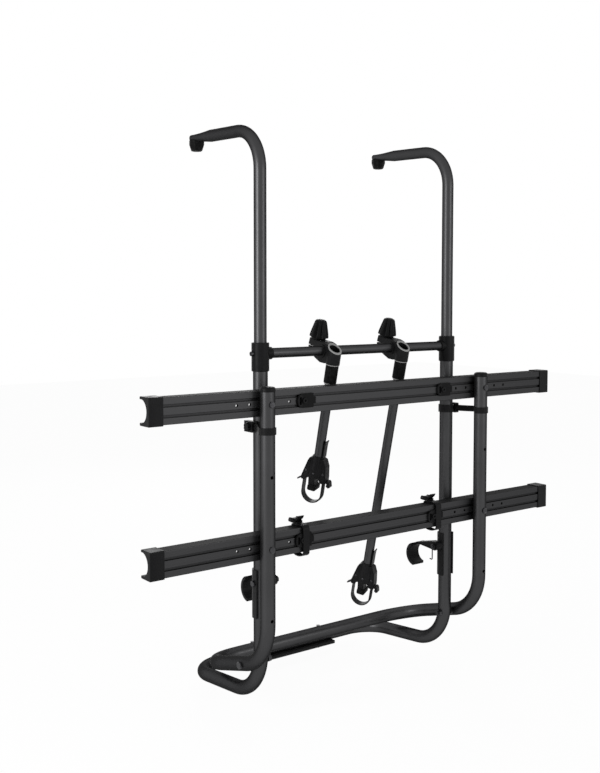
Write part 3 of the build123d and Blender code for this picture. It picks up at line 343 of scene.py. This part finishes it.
def plated_steel(finish):
    """Turned and pressed steel with dull zinc plating, a little blotchy."""
    material, tree, where = new_material("zinc_plated_steel_turned")
    blotch = add_node(tree, "ShaderNodeTexNoise", Vector=where, Scale=250.0, Detail=4.0)
    dark = [c * 0.6 for c in finish.plating[:3]] + [1]
    colour = mix_colours(tree, blotch.outputs[0], dark, finish.plating)
    rough = remap(tree, blotch.outputs[0], (0.3, 0.7), (0.25, 0.42))
    shader = add_node(
        tree, "ShaderNodeBsdfPrincipled", Base_Color=colour, Metallic=1.0, Roughness=rough
    )
    close_material(tree, shader)
    return material


def moulded_trim(finish):
    """Light grey moulded ABS ring: clean, with a soft sheen."""
    material, tree, where = new_material("abs_trim_moulded")
    mottle = add_node(tree, "ShaderNodeTexNoise", Vector=where, Scale=300.0, Detail=2.0)
    dull = [c * 0.85 for c in finish.trim[:3]] + [1]
    colour = mix_colours(tree, mottle.outputs[0], dull, finish.trim)
    rough = remap(tree, mottle.outputs[0], (0.3, 0.7), (0.3, 0.42))
    shader = add_node(
        tree, "ShaderNodeBsdfPrincipled", Base_Color=colour, Roughness=rough, IOR=1.54
    )
    close_material(tree, shader)
    return material


MAKERS = {
    "anodised_tube": anodised_tube,
    "rail_aluminium": anodised_rail,
    "zinc_steel": plated_steel,
    "black_nylon": moulded_nylon,
    "black_rubber": moulded_rubber,
    "strap_rubber": moulded_strap,
    "grey_trim": moulded_trim,
}
made_materials = {}


def material_for(slot):
    """The material of a finish slot, made when first asked for."""
    if slot not in made_materials:
        made_materials[slot] = MAKERS[slot](bpy.context.scene.rack_finish)
    return made_materials[slot]


# ---------------------------------------------------------------- places


def node_box(name):
    """Lowest and highest corner of a carried-over part, in metres."""
    node = nodes[name]
    points = [node.matrix_world @ vertex.co for vertex in node.data.vertices]
    low = Vector([min(point[axis] for point in points) for axis in range(3)])
    high = Vector([max(point[axis] for point in points) for axis in range(3)])
    return low, high


def joint_place(name):
    """A joint's point and direction, in metres, at rest."""
    joint = joints[name]
    return Vector(joint["pos_m"]), Vector(joint["axis"]).normalized()


def jaw_frame(arm):
    """Origin and the across, up and normal directions of an arm's jaw."""
    pivot, normal = joint_place(f"{arm}_jaw_lever_turn")
    up = joint_place(f"{arm}_arm_swivel")[1]
    across = up.cross(normal).normalized()
    jaw = bpy.context.scene.rack_jaws
    origin = pivot + across * jaw.lever_side + up * jaw.lever_drop
    return origin, across, up, normal


# ---------------------------------------------------------------- mesh tools


def new_piece(name, mesh_maker, slot, body, replaced=()):
    """Turn a bmesh into a shaded object that rides on a body and takes a slot's finish."""
    bmesh.ops.recalc_face_normals(mesh_maker, faces=mesh_maker.faces)
    mesh = bpy.data.meshes.new(name)
    mesh_maker.to_mesh(mesh)
    mesh_maker.free()
    piece = bpy.data.objects.new(name, mesh)
    bpy.context.collection.objects.link(piece)
    mesh.materials.append(material_for(slot))
    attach(piece, body)
    if replaced:
        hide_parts(*replaced)
    return piece


def smooth_piece(piece, angle=35.0, bevel=0.0):
    """Shade a piece smooth up to an angle, with a small bevel on its sharp edges."""
    piece.data.shade_smooth()
    if bevel:
        rounded = piece.modifiers.new("rounded_edges", "BEVEL")
        rounded.width = bevel
        rounded.segments = 2
        rounded.limit_method = "ANGLE"
        rounded.angle_limit = math.radians(angle)
    split = piece.modifiers.new("sharp_by_angle", "EDGE_SPLIT")
    split.split_angle = math.radians(angle)


def round_path(points, radius, steps=8):
    """A path with each of its corners rounded by a quadratic curve."""
    result = [points[0]]
    for before, corner, after in zip(points, points[1:], points[2:]):
        inward, outward = before - corner, after - corner
        first = corner + inward.normalized() * min(radius, inward.length / 2)
        last = corner + outward.normalized() * min(radius, outward.length / 2)
        for k in range(steps + 1):
            t = k / steps
            result.append(first.lerp(corner, t).lerp(corner.lerp(last, t), t))
    result.append(points[-1])
    return result


def arc_points(centre, across, up, radii, start, end, steps):
    """Points on an arc or part of an ellipse in the plane of two directions, angles in degrees."""
    result = []
    for k in range(steps + 1):
        angle = math.radians(start + (end - start) * k / steps)
        result.append(centre + across * radii[0] * math.cos(angle) + up * radii[1] * math.sin(angle))
    return result


def resample(points, step):
    """Points spaced evenly along a path."""
    total = [0.0]
    for first, second in zip(points, points[1:]):
        total.append(total[-1] + (second - first).length)
    count = max(2, round(total[-1] / step))
    result = []
    index = 0
    for k in range(count + 1):
        target = total[-1] * k / count
        while index < len(points) - 2 and total[index + 1] < target:
            index += 1
        span = total[index + 1] - total[index]
        result.append(points[index].lerp(points[index + 1], (target - total[index]) / span if span else 0))
    return result


def join_rings(mesh, rings, closed=False):
    """Skin between rings of vertices, capped at both ends unless the run is closed."""
    count = len(rings[0])
    following = rings[1:] + rings[:1] if closed else rings[1:]
    for first, second in zip(rings, following):
        for i in range(count):
            j = (i + 1) % count
            mesh.faces.new((first[i], first[j], second[j], second[i]))
    if not closed:
        mesh.faces.new(list(reversed(rings[0])))
        mesh.faces.new(rings[-1])


def add_strap(mesh, points, side, width, thickness, outward=1):
    """A strap along a path: flat inside, with a row of ratchet teeth outside.

    side is the strap's width direction, the same all along it."""
    sizes = bpy.context.scene.rack_straps
    fine = resample(points, sizes.tooth_pitch / 3)
    tooth = [0.0, 0.55, 1.0]
    half = width / 2
    shelf = half - sizes.plain_edge
    rings = []
    for k, point in enumerate(fine):
        along = (fine[min(k + 1, len(fine) - 1)] - fine[max(k - 1, 0)]).normalized()
        out = side.cross(along).normalized() * outward
        toothed = 3 < k < len(fine) - 4
        rise = thickness / 2 + (tooth[k % 3] * sizes.tooth_height if toothed else 0.0)
        profile = (
            (-half, -thickness / 2), (half, -thickness / 2), (half, thickness / 2), (shelf, thickness / 2),
            (shelf, rise), (-shelf, rise), (-shelf, thickness / 2), (-half, thickness / 2),
        )
        rings.append([mesh.verts.new(point + side * a + out * b) for a, b in profile])
    join_rings(mesh, rings)


def add_tube(mesh, points, radius, sides=10, closed=False):
    """A round bead or wire along a path."""
    along = (points[1] - points[0]).normalized()
    side = along.orthogonal().normalized()
    last = len(points) - 1
    rings = []
    for k, point in enumerate(points):
        ahead = points[(k + 1) % len(points)] if closed else points[min(k + 1, last)]
        behind = points[k - 1] if closed else points[max(k - 1, 0)]
        along = (ahead - behind).normalized()
        side = (side - along * side.dot(along)).normalized()
        other = along.cross(side)
        ring = []
        for i in range(sides):
            angle = 2 * math.pi * i / sides
            ring.append(mesh.verts.new(point + (side * math.cos(angle) + other * math.sin(angle)) * radius))
        rings.append(ring)
    join_rings(mesh, rings, closed)


def add_slab(mesh, outline, origin, u, v, depth):
    """A plate with an outline in mm along two directions, half its depth on each side of its plane."""
    through = u.cross(v).normalized() * depth / 2
    rings = []
    for shift in (-through, through):
        rings.append([mesh.verts.new(origin + (u * a + v * b) * MM + shift) for a, b in outline])
    join_rings(mesh, rings)


def add_lathe(mesh, profile, origin, axis, steps=32):
    """A turned shape: radii and heights in mm from its foot to its top."""
    side = axis.orthogonal().normalized()
    other = axis.cross(side)
    rings = []
    for radius, height in profile:
        ring = []
        for k in range(steps):
            angle = 2 * math.pi * k / steps
            spread = side * math.cos(angle) + other * math.sin(angle)
            ring.append(mesh.verts.new(origin + (axis * height + spread * radius) * MM))
        rings.append(ring)
    join_rings(mesh, rings)


# a button-headed screw with a round driving recess: radii and heights in shares of its head's radius
SCREW_HEAD = ((1.0, -0.1), (1.0, 0.12), (0.86, 0.42), (0.6, 0.58), (0.42, 0.6), (0.38, 0.25), (0.05, 0.2))


def add_screw(mesh, origin, axis, radius):
    """A small button-headed screw that stands on a face."""
    add_lathe(mesh, [(r * radius, h * radius) for r, h in SCREW_HEAD], origin, axis, 24)


# ---------------------------------------------------------------- operators


class RACK_OT_finish(bpy.types.Operator):
    """Give every carried-over part of the rack its real finish"""

    bl_idname = "rack.finish"
    bl_label = "Finish the parts"

    def execute(self, context):
        slots = {part["node"]: part["material_slot"] for part in frame["record"]["subparts"]}
        for name, node in nodes.items():
            material = material_for(slots[name])
            if not node.material_slots:
                node.data.materials.append(material)
            for material_slot in node.material_slots:
                material_slot.material = material
        return {"FINISHED"}


class RACK_OT_knobs(bpy.types.Operator):
    """Make the two tapered, fluted clamp knobs"""

    bl_idname = "rack.knobs"
    bl_label = "Clamp knobs"

    flute_share = 0.24
    flute_sharpness = 2.0
    steps_per_flute = 12
    # radius, height and depth of flute, in shares of the knob's foot radius, height and full flute
    profile = (
        (0.72, 0.0, 0.0), (0.74, 0.07, 0.0), (0.97, 0.09, 0.5), (1.0, 0.13, 1.0),
        (0.94, 0.3, 1.0), (0.84, 0.5, 1.0), (0.72, 0.72, 1.0), (0.63, 0.88, 0.9),
        (0.55, 0.95, 0.5), (0.4, 0.985, 0.1), (0.05, 1.0, 0.0),
    )

    def execute(self, context):
        sizes = context.scene.rack_knobs
        count = sizes.flutes * self.steps_per_flute
        for arm in ARMS:
            place, up = joint_place(f"{arm}_knob_turn")
            foot = place - up * sizes.pivot_height
            side = up.orthogonal().normalized()
            other = up.cross(side)
            mesh = bmesh.new()
            rings = []
            for spread, rise, flute in self.profile:
                ring = []
                for k in range(count):
                    angle = 2 * math.pi * k / count
                    wave = 0.5 + 0.5 * math.cos(sizes.flutes * angle)
                    cut = self.flute_share * flute * (1 - wave) ** self.flute_sharpness
                    radius = sizes.foot_radius * spread * (1 - cut)
                    spoke = side * math.cos(angle) + other * math.sin(angle)
                    ring.append(mesh.verts.new(foot + up * sizes.height * rise + spoke * radius))
                rings.append(ring)
            join_rings(mesh, rings)
            knob = new_piece(f"{arm}_fluted_knob", mesh, "black_nylon", f"{arm}_knob", (f"{arm}_arm_knob",))
            smooth_piece(knob, 50)
        return {"FINISHED"}


class RACK_OT_jaw_straps(bpy.types.Operator):
    """Make the toothed straps that loop below the jaws, with their free ends beside the arms"""

    bl_idname = "rack.jaw_straps"
    bl_label = "Jaw straps"

    def execute(self, context):
        jaw = context.scene.rack_jaws
        straps = context.scene.rack_straps
        for arm in ARMS:
            origin, across, up, normal = jaw_frame(arm)
            centre = origin + across * jaw.loop_shift - up * jaw.loop_drop
            mouth = -up * jaw.mouth_drop + across * jaw.loop_shift
            side = across * jaw.loop_radius
            loop = [origin + mouth + side]
            loop += arc_points(centre, across, up, (jaw.loop_radius, jaw.loop_radius), 0, -180, 32)
            loop.append(origin + mouth - side)
            mesh = bmesh.new()
            add_strap(mesh, loop, normal, jaw.strap_width, straps.thickness)
            foot = origin - across * jaw.tail_side + up * jaw.tail_foot
            tip = foot + up * jaw.tail_length
            bend = foot.lerp(tip, 0.8)
            tail = round_path([foot, bend, tip - across * jaw.tail_curl], jaw.tail_length * 0.2)
            add_strap(mesh, tail, normal, jaw.strap_width, straps.thickness, -1)
            strap = new_piece(f"{arm}_jaw_strap", mesh, "strap_rubber", f"{arm}_arm", (f"{arm}_arm_strap",))
            smooth_piece(strap, 30)
        return {"FINISHED"}


class RACK_OT_jaw_fittings(bpy.types.Operator):
    """Add the jaws' raised rims and their screws"""

    bl_idname = "rack.jaw_fittings"
    bl_label = "Jaw rims and screws"

    # closed rims of the two lobes and open beads on the tongue, in mm across and up the jaw
    lobes = (
        (
            (15.5, -5), (19, -7), (22, -14), (31.5, -50), (30, -58),
            (25, -58), (20, -51), (16.5, -44), (16.5, -14),
        ),
        ((-16.5, -6), (-19.5, -9), (-24, -22), (-28, -47), (-27, -58), (-20, -58), (-13, -49), (-16.5, -40)),
    )
    tongue = (((11, -53), (10.5, -68), (6, -76)), ((0.5, -55), (0, -64), (-3.5, -76)))
    screws = ((24, -36), (-22, -38), (3, -41))

    def execute(self, context):
        jaw = context.scene.rack_jaws
        for arm in ARMS:
            origin, across, up, normal = jaw_frame(arm)
            rims = bmesh.new()
            heads = bmesh.new()
            for facing in (normal, -normal):
                face = origin + facing * jaw.half_thickness

                def on_face(pairs):
                    return [face + (across * a + up * b) * MM for a, b in pairs]

                for lobe in self.lobes:
                    points = on_face(lobe)
                    rounded = round_path(points + points[:2], 2.5 * MM, 4)[1:-1]
                    add_tube(rims, rounded, jaw.rim_radius, 8, closed=True)
                for bead in self.tongue:
                    add_tube(rims, round_path(on_face(bead), 5 * MM, 5), jaw.rim_radius, 8)
                for place in on_face(self.screws):
                    add_screw(heads, place, facing, 3.2)
            rim = new_piece(f"{arm}_jaw_rims", rims, "black_nylon", f"{arm}_arm")
            smooth_piece(rim, 60)
            screw = new_piece(f"{arm}_jaw_screws", heads, "zinc_steel", f"{arm}_arm")
            smooth_piece(screw, 40)
        return {"FINISHED"}


class RACK_OT_wheel_straps(bpy.types.Operator):
    """Make the toothed wheel straps that hang slack round the lower rail, with their buckles"""

    bl_idname = "rack.wheel_straps"
    bl_label = "Wheel straps"

    # side view of a buckle's cheek and floor, in mm back from and above its lever's pin
    cheek = ((-17, -6), (9, -6), (9.5, -1), (6, 4.2), (-2, 4.6), (-9, 0.5), (-17, -2.5))
    floor = ((-17, -6), (9, -6), (9, -4.6), (-17, -4.6))

    def execute(self, context):
        straps = context.scene.rack_straps
        low, high = node_box("lower_rail")
        back, up, side = Vector((0, 1, 0)), Vector((0, 0, 1)), Vector((1, 0, 0))
        front_y = low.y - straps.front_gap - straps.thickness / 2
        back_y = high.y + straps.back_gap + straps.thickness / 2
        top_z = high.z + straps.back_gap + straps.thickness / 2
        middle_y, half_depth = (front_y + back_y) / 2, (back_y - front_y) / 2
        for name in SIDES:
            pin = joint_place(f"{name}_wheel_lever_turn")[0]

            def place(y, z):
                return Vector((pin.x, y, z))

            droop = arc_points(place(middle_y, low.z), back, up, (half_depth, straps.slack), 180, 360, 24)
            shoulder = place(front_y, top_z)
            start = place(back_y + 7 * MM, top_z + straps.thickness * 1.6)
            first = round_path([start, place(middle_y, top_z + straps.thickness), shoulder, droop[0]], 9 * MM)
            rear_top = place(back_y, top_z)
            last = round_path([droop[-1], rear_top, place(middle_y, top_z)], 5 * MM)
            mesh = bmesh.new()
            add_strap(mesh, first[:-1] + droop + last[1:], side, straps.width, straps.thickness)
            buckle = bmesh.new()
            for turn in (-1, 1):
                cheek_place = pin + side * turn * straps.cheek_spread
                add_slab(buckle, self.cheek, cheek_place, back, up, straps.cheek_depth)
            add_slab(buckle, self.floor, pin, back, up, 2 * straps.cheek_spread - straps.cheek_depth)
            body = f"lower_{name}_holder"
            strap = new_piece(f"{name}_wheel_band", mesh, "strap_rubber", body, (f"wheel_strap_{name}",))
            smooth_piece(strap, 30)
            smooth_piece(new_piece(f"{name}_buckle", buckle, "black_nylon", body), 35, 0.5 * MM)
            pins = bmesh.new()
            outside = straps.cheek_spread + straps.cheek_depth / 2
            for turn in (-1, 1):
                add_screw(pins, pin + side * turn * outside, side * turn, 2.6)
            smooth_piece(new_piece(f"{name}_buckle_pin", pins, "zinc_steel", body), 40)
        return {"FINISHED"}


class RACK_OT_hold_straps(bpy.types.Operator):
    """Make the ribbed straps that hold the folded platform to the rear tubes"""

    bl_idname = "rack.hold_straps"
    bl_label = "Hold straps"

    def execute(self, context):
        hold = context.scene.rack_hold
        rear_y = joint_place("platform_fold")[0].y
        platform = node_box("platform_caps")
        platform_y = (platform[0].y + platform[1].y) / 2
        cap_radius = (platform[1].y - platform[0].y) / 2
        wrap = cap_radius - hold.cap_margin + hold.thickness / 2
        mesh = bmesh.new()
        for name, turn in SIDES.items():
            knob = joint_place(f"{name}_strap_knob_turn")[0]
            across, back, up = Vector((turn, 0, 0)), Vector((0, 1, 0)), Vector((0, 0, 1))
            tube_x = abs((platform[1] if turn > 0 else platform[0]).x) - cap_radius

            def place(x, y):
                return Vector((turn * x, y, knob.z))

            tail = [
                place(hold.tail_x, rear_y + hold.tail_back),
                place(hold.tail_x, rear_y - hold.tail_front),
                place(tube_x + wrap, platform_y + 8 * MM),
                place(tube_x + wrap, platform_y),
            ]
            band = arc_points(place(tube_x, platform_y), across, back, (wrap, wrap), 0, -180, 24)
            band.append(place(tube_x - wrap, platform_y + 5 * MM))
            add_strap(mesh, round_path(tail, 12 * MM) + band[1:], up, hold.width, hold.thickness, -turn)
        smooth_piece(new_piece("hold_strap_bands", mesh, "strap_rubber", "platform", ("hold_straps",)), 30)
        return {"FINISHED"}


class RACK_OT_caps(bpy.types.Operator):
    """Make the domed caps on the platform tubes"""

    bl_idname = "rack.caps"
    bl_label = "Tube caps"

    # half section of a cap: radii in shares of its rim, heights in mm above the tube's end
    height = 12
    section = (
        (0.8, -9), (0.83, -9), (0.83, 0), (1, 0.1), (1, 6.5),
        (0.97, 8.6), (0.9, 10.2), (0.76, 11.3), (0.5, 11.9), (0.05, height),
    )

    def execute(self, context):
        low, high = node_box("platform_caps")
        rim = (high.y - low.y) / 2
        mesh = bmesh.new()
        for turn in SIDES.values():
            centre = Vector((turn * (high.x - rim), (low.y + high.y) / 2, high.z - self.height * MM))
            profile = [(share * rim / MM, rise) for share, rise in self.section]
            add_lathe(mesh, profile, centre, Vector((0, 0, 1)))
        smooth_piece(new_piece("domed_tube_caps", mesh, "black_nylon", "platform", ("platform_caps",)), 40)
        return {"FINISHED"}


def seen_rays(tree):
    """1 for rays by which the camera, metal or glass sees a surface, 0 for light that falls on the rack."""
    path = add_node(tree, "ShaderNodeLightPath").outputs
    mirrored = calculate(tree, "ADD", path["Is Glossy Ray"], path["Is Transmission Ray"])
    return calculate(tree, "ADD", path["Is Camera Ray"], mirrored)


class RACK_OT_stage(bpy.types.Operator):
    """Set the floor, the lamps, the white surroundings and the camera"""

    bl_idname = "rack.stage"
    bl_label = "Studio"

    def execute(self, context):
        scene = context.scene
        stage = scene.rack_stage
        low, high = Vector(cad_low), Vector(cad_high)

        # seamless paper floor, white where the camera or a reflection sees it, keeping its soft shadow
        reach = 9.0
        level = low.z - 0.02
        mesh = bmesh.new()
        corners = [(-reach, -reach), (reach, -reach), (reach, reach), (-reach, reach)]
        mesh.faces.new([mesh.verts.new((x, y, level)) for x, y in corners])
        data = bpy.data.meshes.new("studio_floor")
        mesh.to_mesh(data)
        mesh.free()
        floor = bpy.data.objects.new("studio_floor", data)
        scene.collection.objects.link(floor)
        material, tree, where = new_material("studio_paper")
        fibre = add_node(tree, "ShaderNodeTexNoise", Vector=where, Scale=900.0, Detail=2.0)
        bump = add_node(tree, "ShaderNodeBump", Strength=0.02, Distance=0.0002, Height=fibre.outputs[0])
        paper = add_node(
            tree,
            "ShaderNodeBsdfPrincipled",
            Base_Color=linear("#f6f6f6"),
            Roughness=0.9,
            Normal=bump.outputs[0],
        )
        glow = add_node(tree, "ShaderNodeEmission", Color=(1, 1, 1, 1), Strength=1.0)
        share = calculate(tree, "MULTIPLY", seen_rays(tree), stage.whiteness)
        close_material(
            tree,
            add_node(tree, "ShaderNodeMixShader", in0=share, in1=paper.outputs[0], in2=glow.outputs[0]),
        )
        data.materials.append(material)
        floor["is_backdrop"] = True

        world = bpy.data.worlds.new("studio_white")
        scene.world = world
        world.use_nodes = True
        tree = world.node_tree
        tree.nodes.clear()
        strength = remap(tree, seen_rays(tree), (0.0, 1.0), (stage.sky, 1.0))
        sky = add_node(tree, "ShaderNodeBackground", Color=(1, 1, 1, 1), Strength=strength)
        add_node(tree, "ShaderNodeOutputWorld", Surface=sky.outputs[0])

        middle = (low + high) / 2
        lamps = (
            ("key_lamp", (-3.2, -0.3, 0.6), stage.key_power, 1.1),
            ("fill_lamp", (1.3, -3.4, 0.6), stage.fill_power, 0.8),
            ("back_lamp", (1.6, 2.8, 1.2), stage.fill_power, 1.4),
        )
        for name, place, power, size in lamps:
            light = bpy.data.lights.new(name, "AREA")
            light.energy = power
            light.shape = "SQUARE"
            light.size = size
            lamp = bpy.data.objects.new(name, light)
            scene.collection.objects.link(lamp)
            lamp.location = middle + Vector(place)
            lamp.rotation_mode = "QUATERNION"
            lamp.rotation_quaternion = (middle - lamp.location).to_track_quat("-Z", "Y")

        data = bpy.data.cameras.new("camera")
        data.lens = stage.lens
        data.shift_y = stage.shift
        camera = bpy.data.objects.new("camera", data)
        scene.collection.objects.link(camera)
        camera.location = stage.camera
        camera.rotation_euler = (math.pi / 2 - stage.elevation, 0, stage.azimuth)
        scene.camera = camera
        scene.view_settings.view_transform = "Standard"
        return {"FINISHED"}


class RACK_PT_panel(bpy.types.Panel):
    """Lists the rack's sizes, colours and steps in the sidebar"""

    bl_idname = "RACK_PT_panel"
    bl_label = "Rack"
    bl_space_type = "VIEW_3D"
    bl_region_type = "UI"
    bl_category = "Rack"

    def draw(self, context):
        layout = self.layout
        for group in GROUPS:
            settings = getattr(context.scene, group)
            box = layout.box()
            for key in settings.__annotations__:
                box.prop(settings, key)
        for operator in OPERATORS:
            layout.operator(operator.bl_idname)


GROUPS = {
    "rack_finish": RackFinish,
    "rack_straps": RackStraps,
    "rack_hold": RackHold,
    "rack_jaws": RackJaws,
    "rack_knobs": RackKnobs,
    "rack_stage": RackStage,
}
OPERATORS = (
    RACK_OT_finish,
    RACK_OT_knobs,
    RACK_OT_jaw_straps,
    RACK_OT_jaw_fittings,
    RACK_OT_wheel_straps,
    RACK_OT_hold_straps,
    RACK_OT_caps,
    RACK_OT_stage,
)


def register():
    for group in GROUPS.values():
        bpy.utils.register_class(group)
    for name, group in GROUPS.items():
        setattr(bpy.types.Scene, name, bpy.props.PointerProperty(type=group))
    for operator in OPERATORS:
        bpy.utils.register_class(operator)
    bpy.utils.register_class(RACK_PT_panel)


def unregister():
    bpy.utils.unregister_class(RACK_PT_panel)
    for operator in reversed(OPERATORS):
        bpy.utils.unregister_class(operator)
    for name in GROUPS:
        delattr(bpy.types.Scene, name)
    for group in GROUPS.values():
        bpy.utils.unregister_class(group)


def main():
    register()
    for operator in OPERATORS:
        group, _, name = operator.bl_idname.partition(".")
        getattr(getattr(bpy.ops, group), name)()


if __name__ == "__main__":
    main()
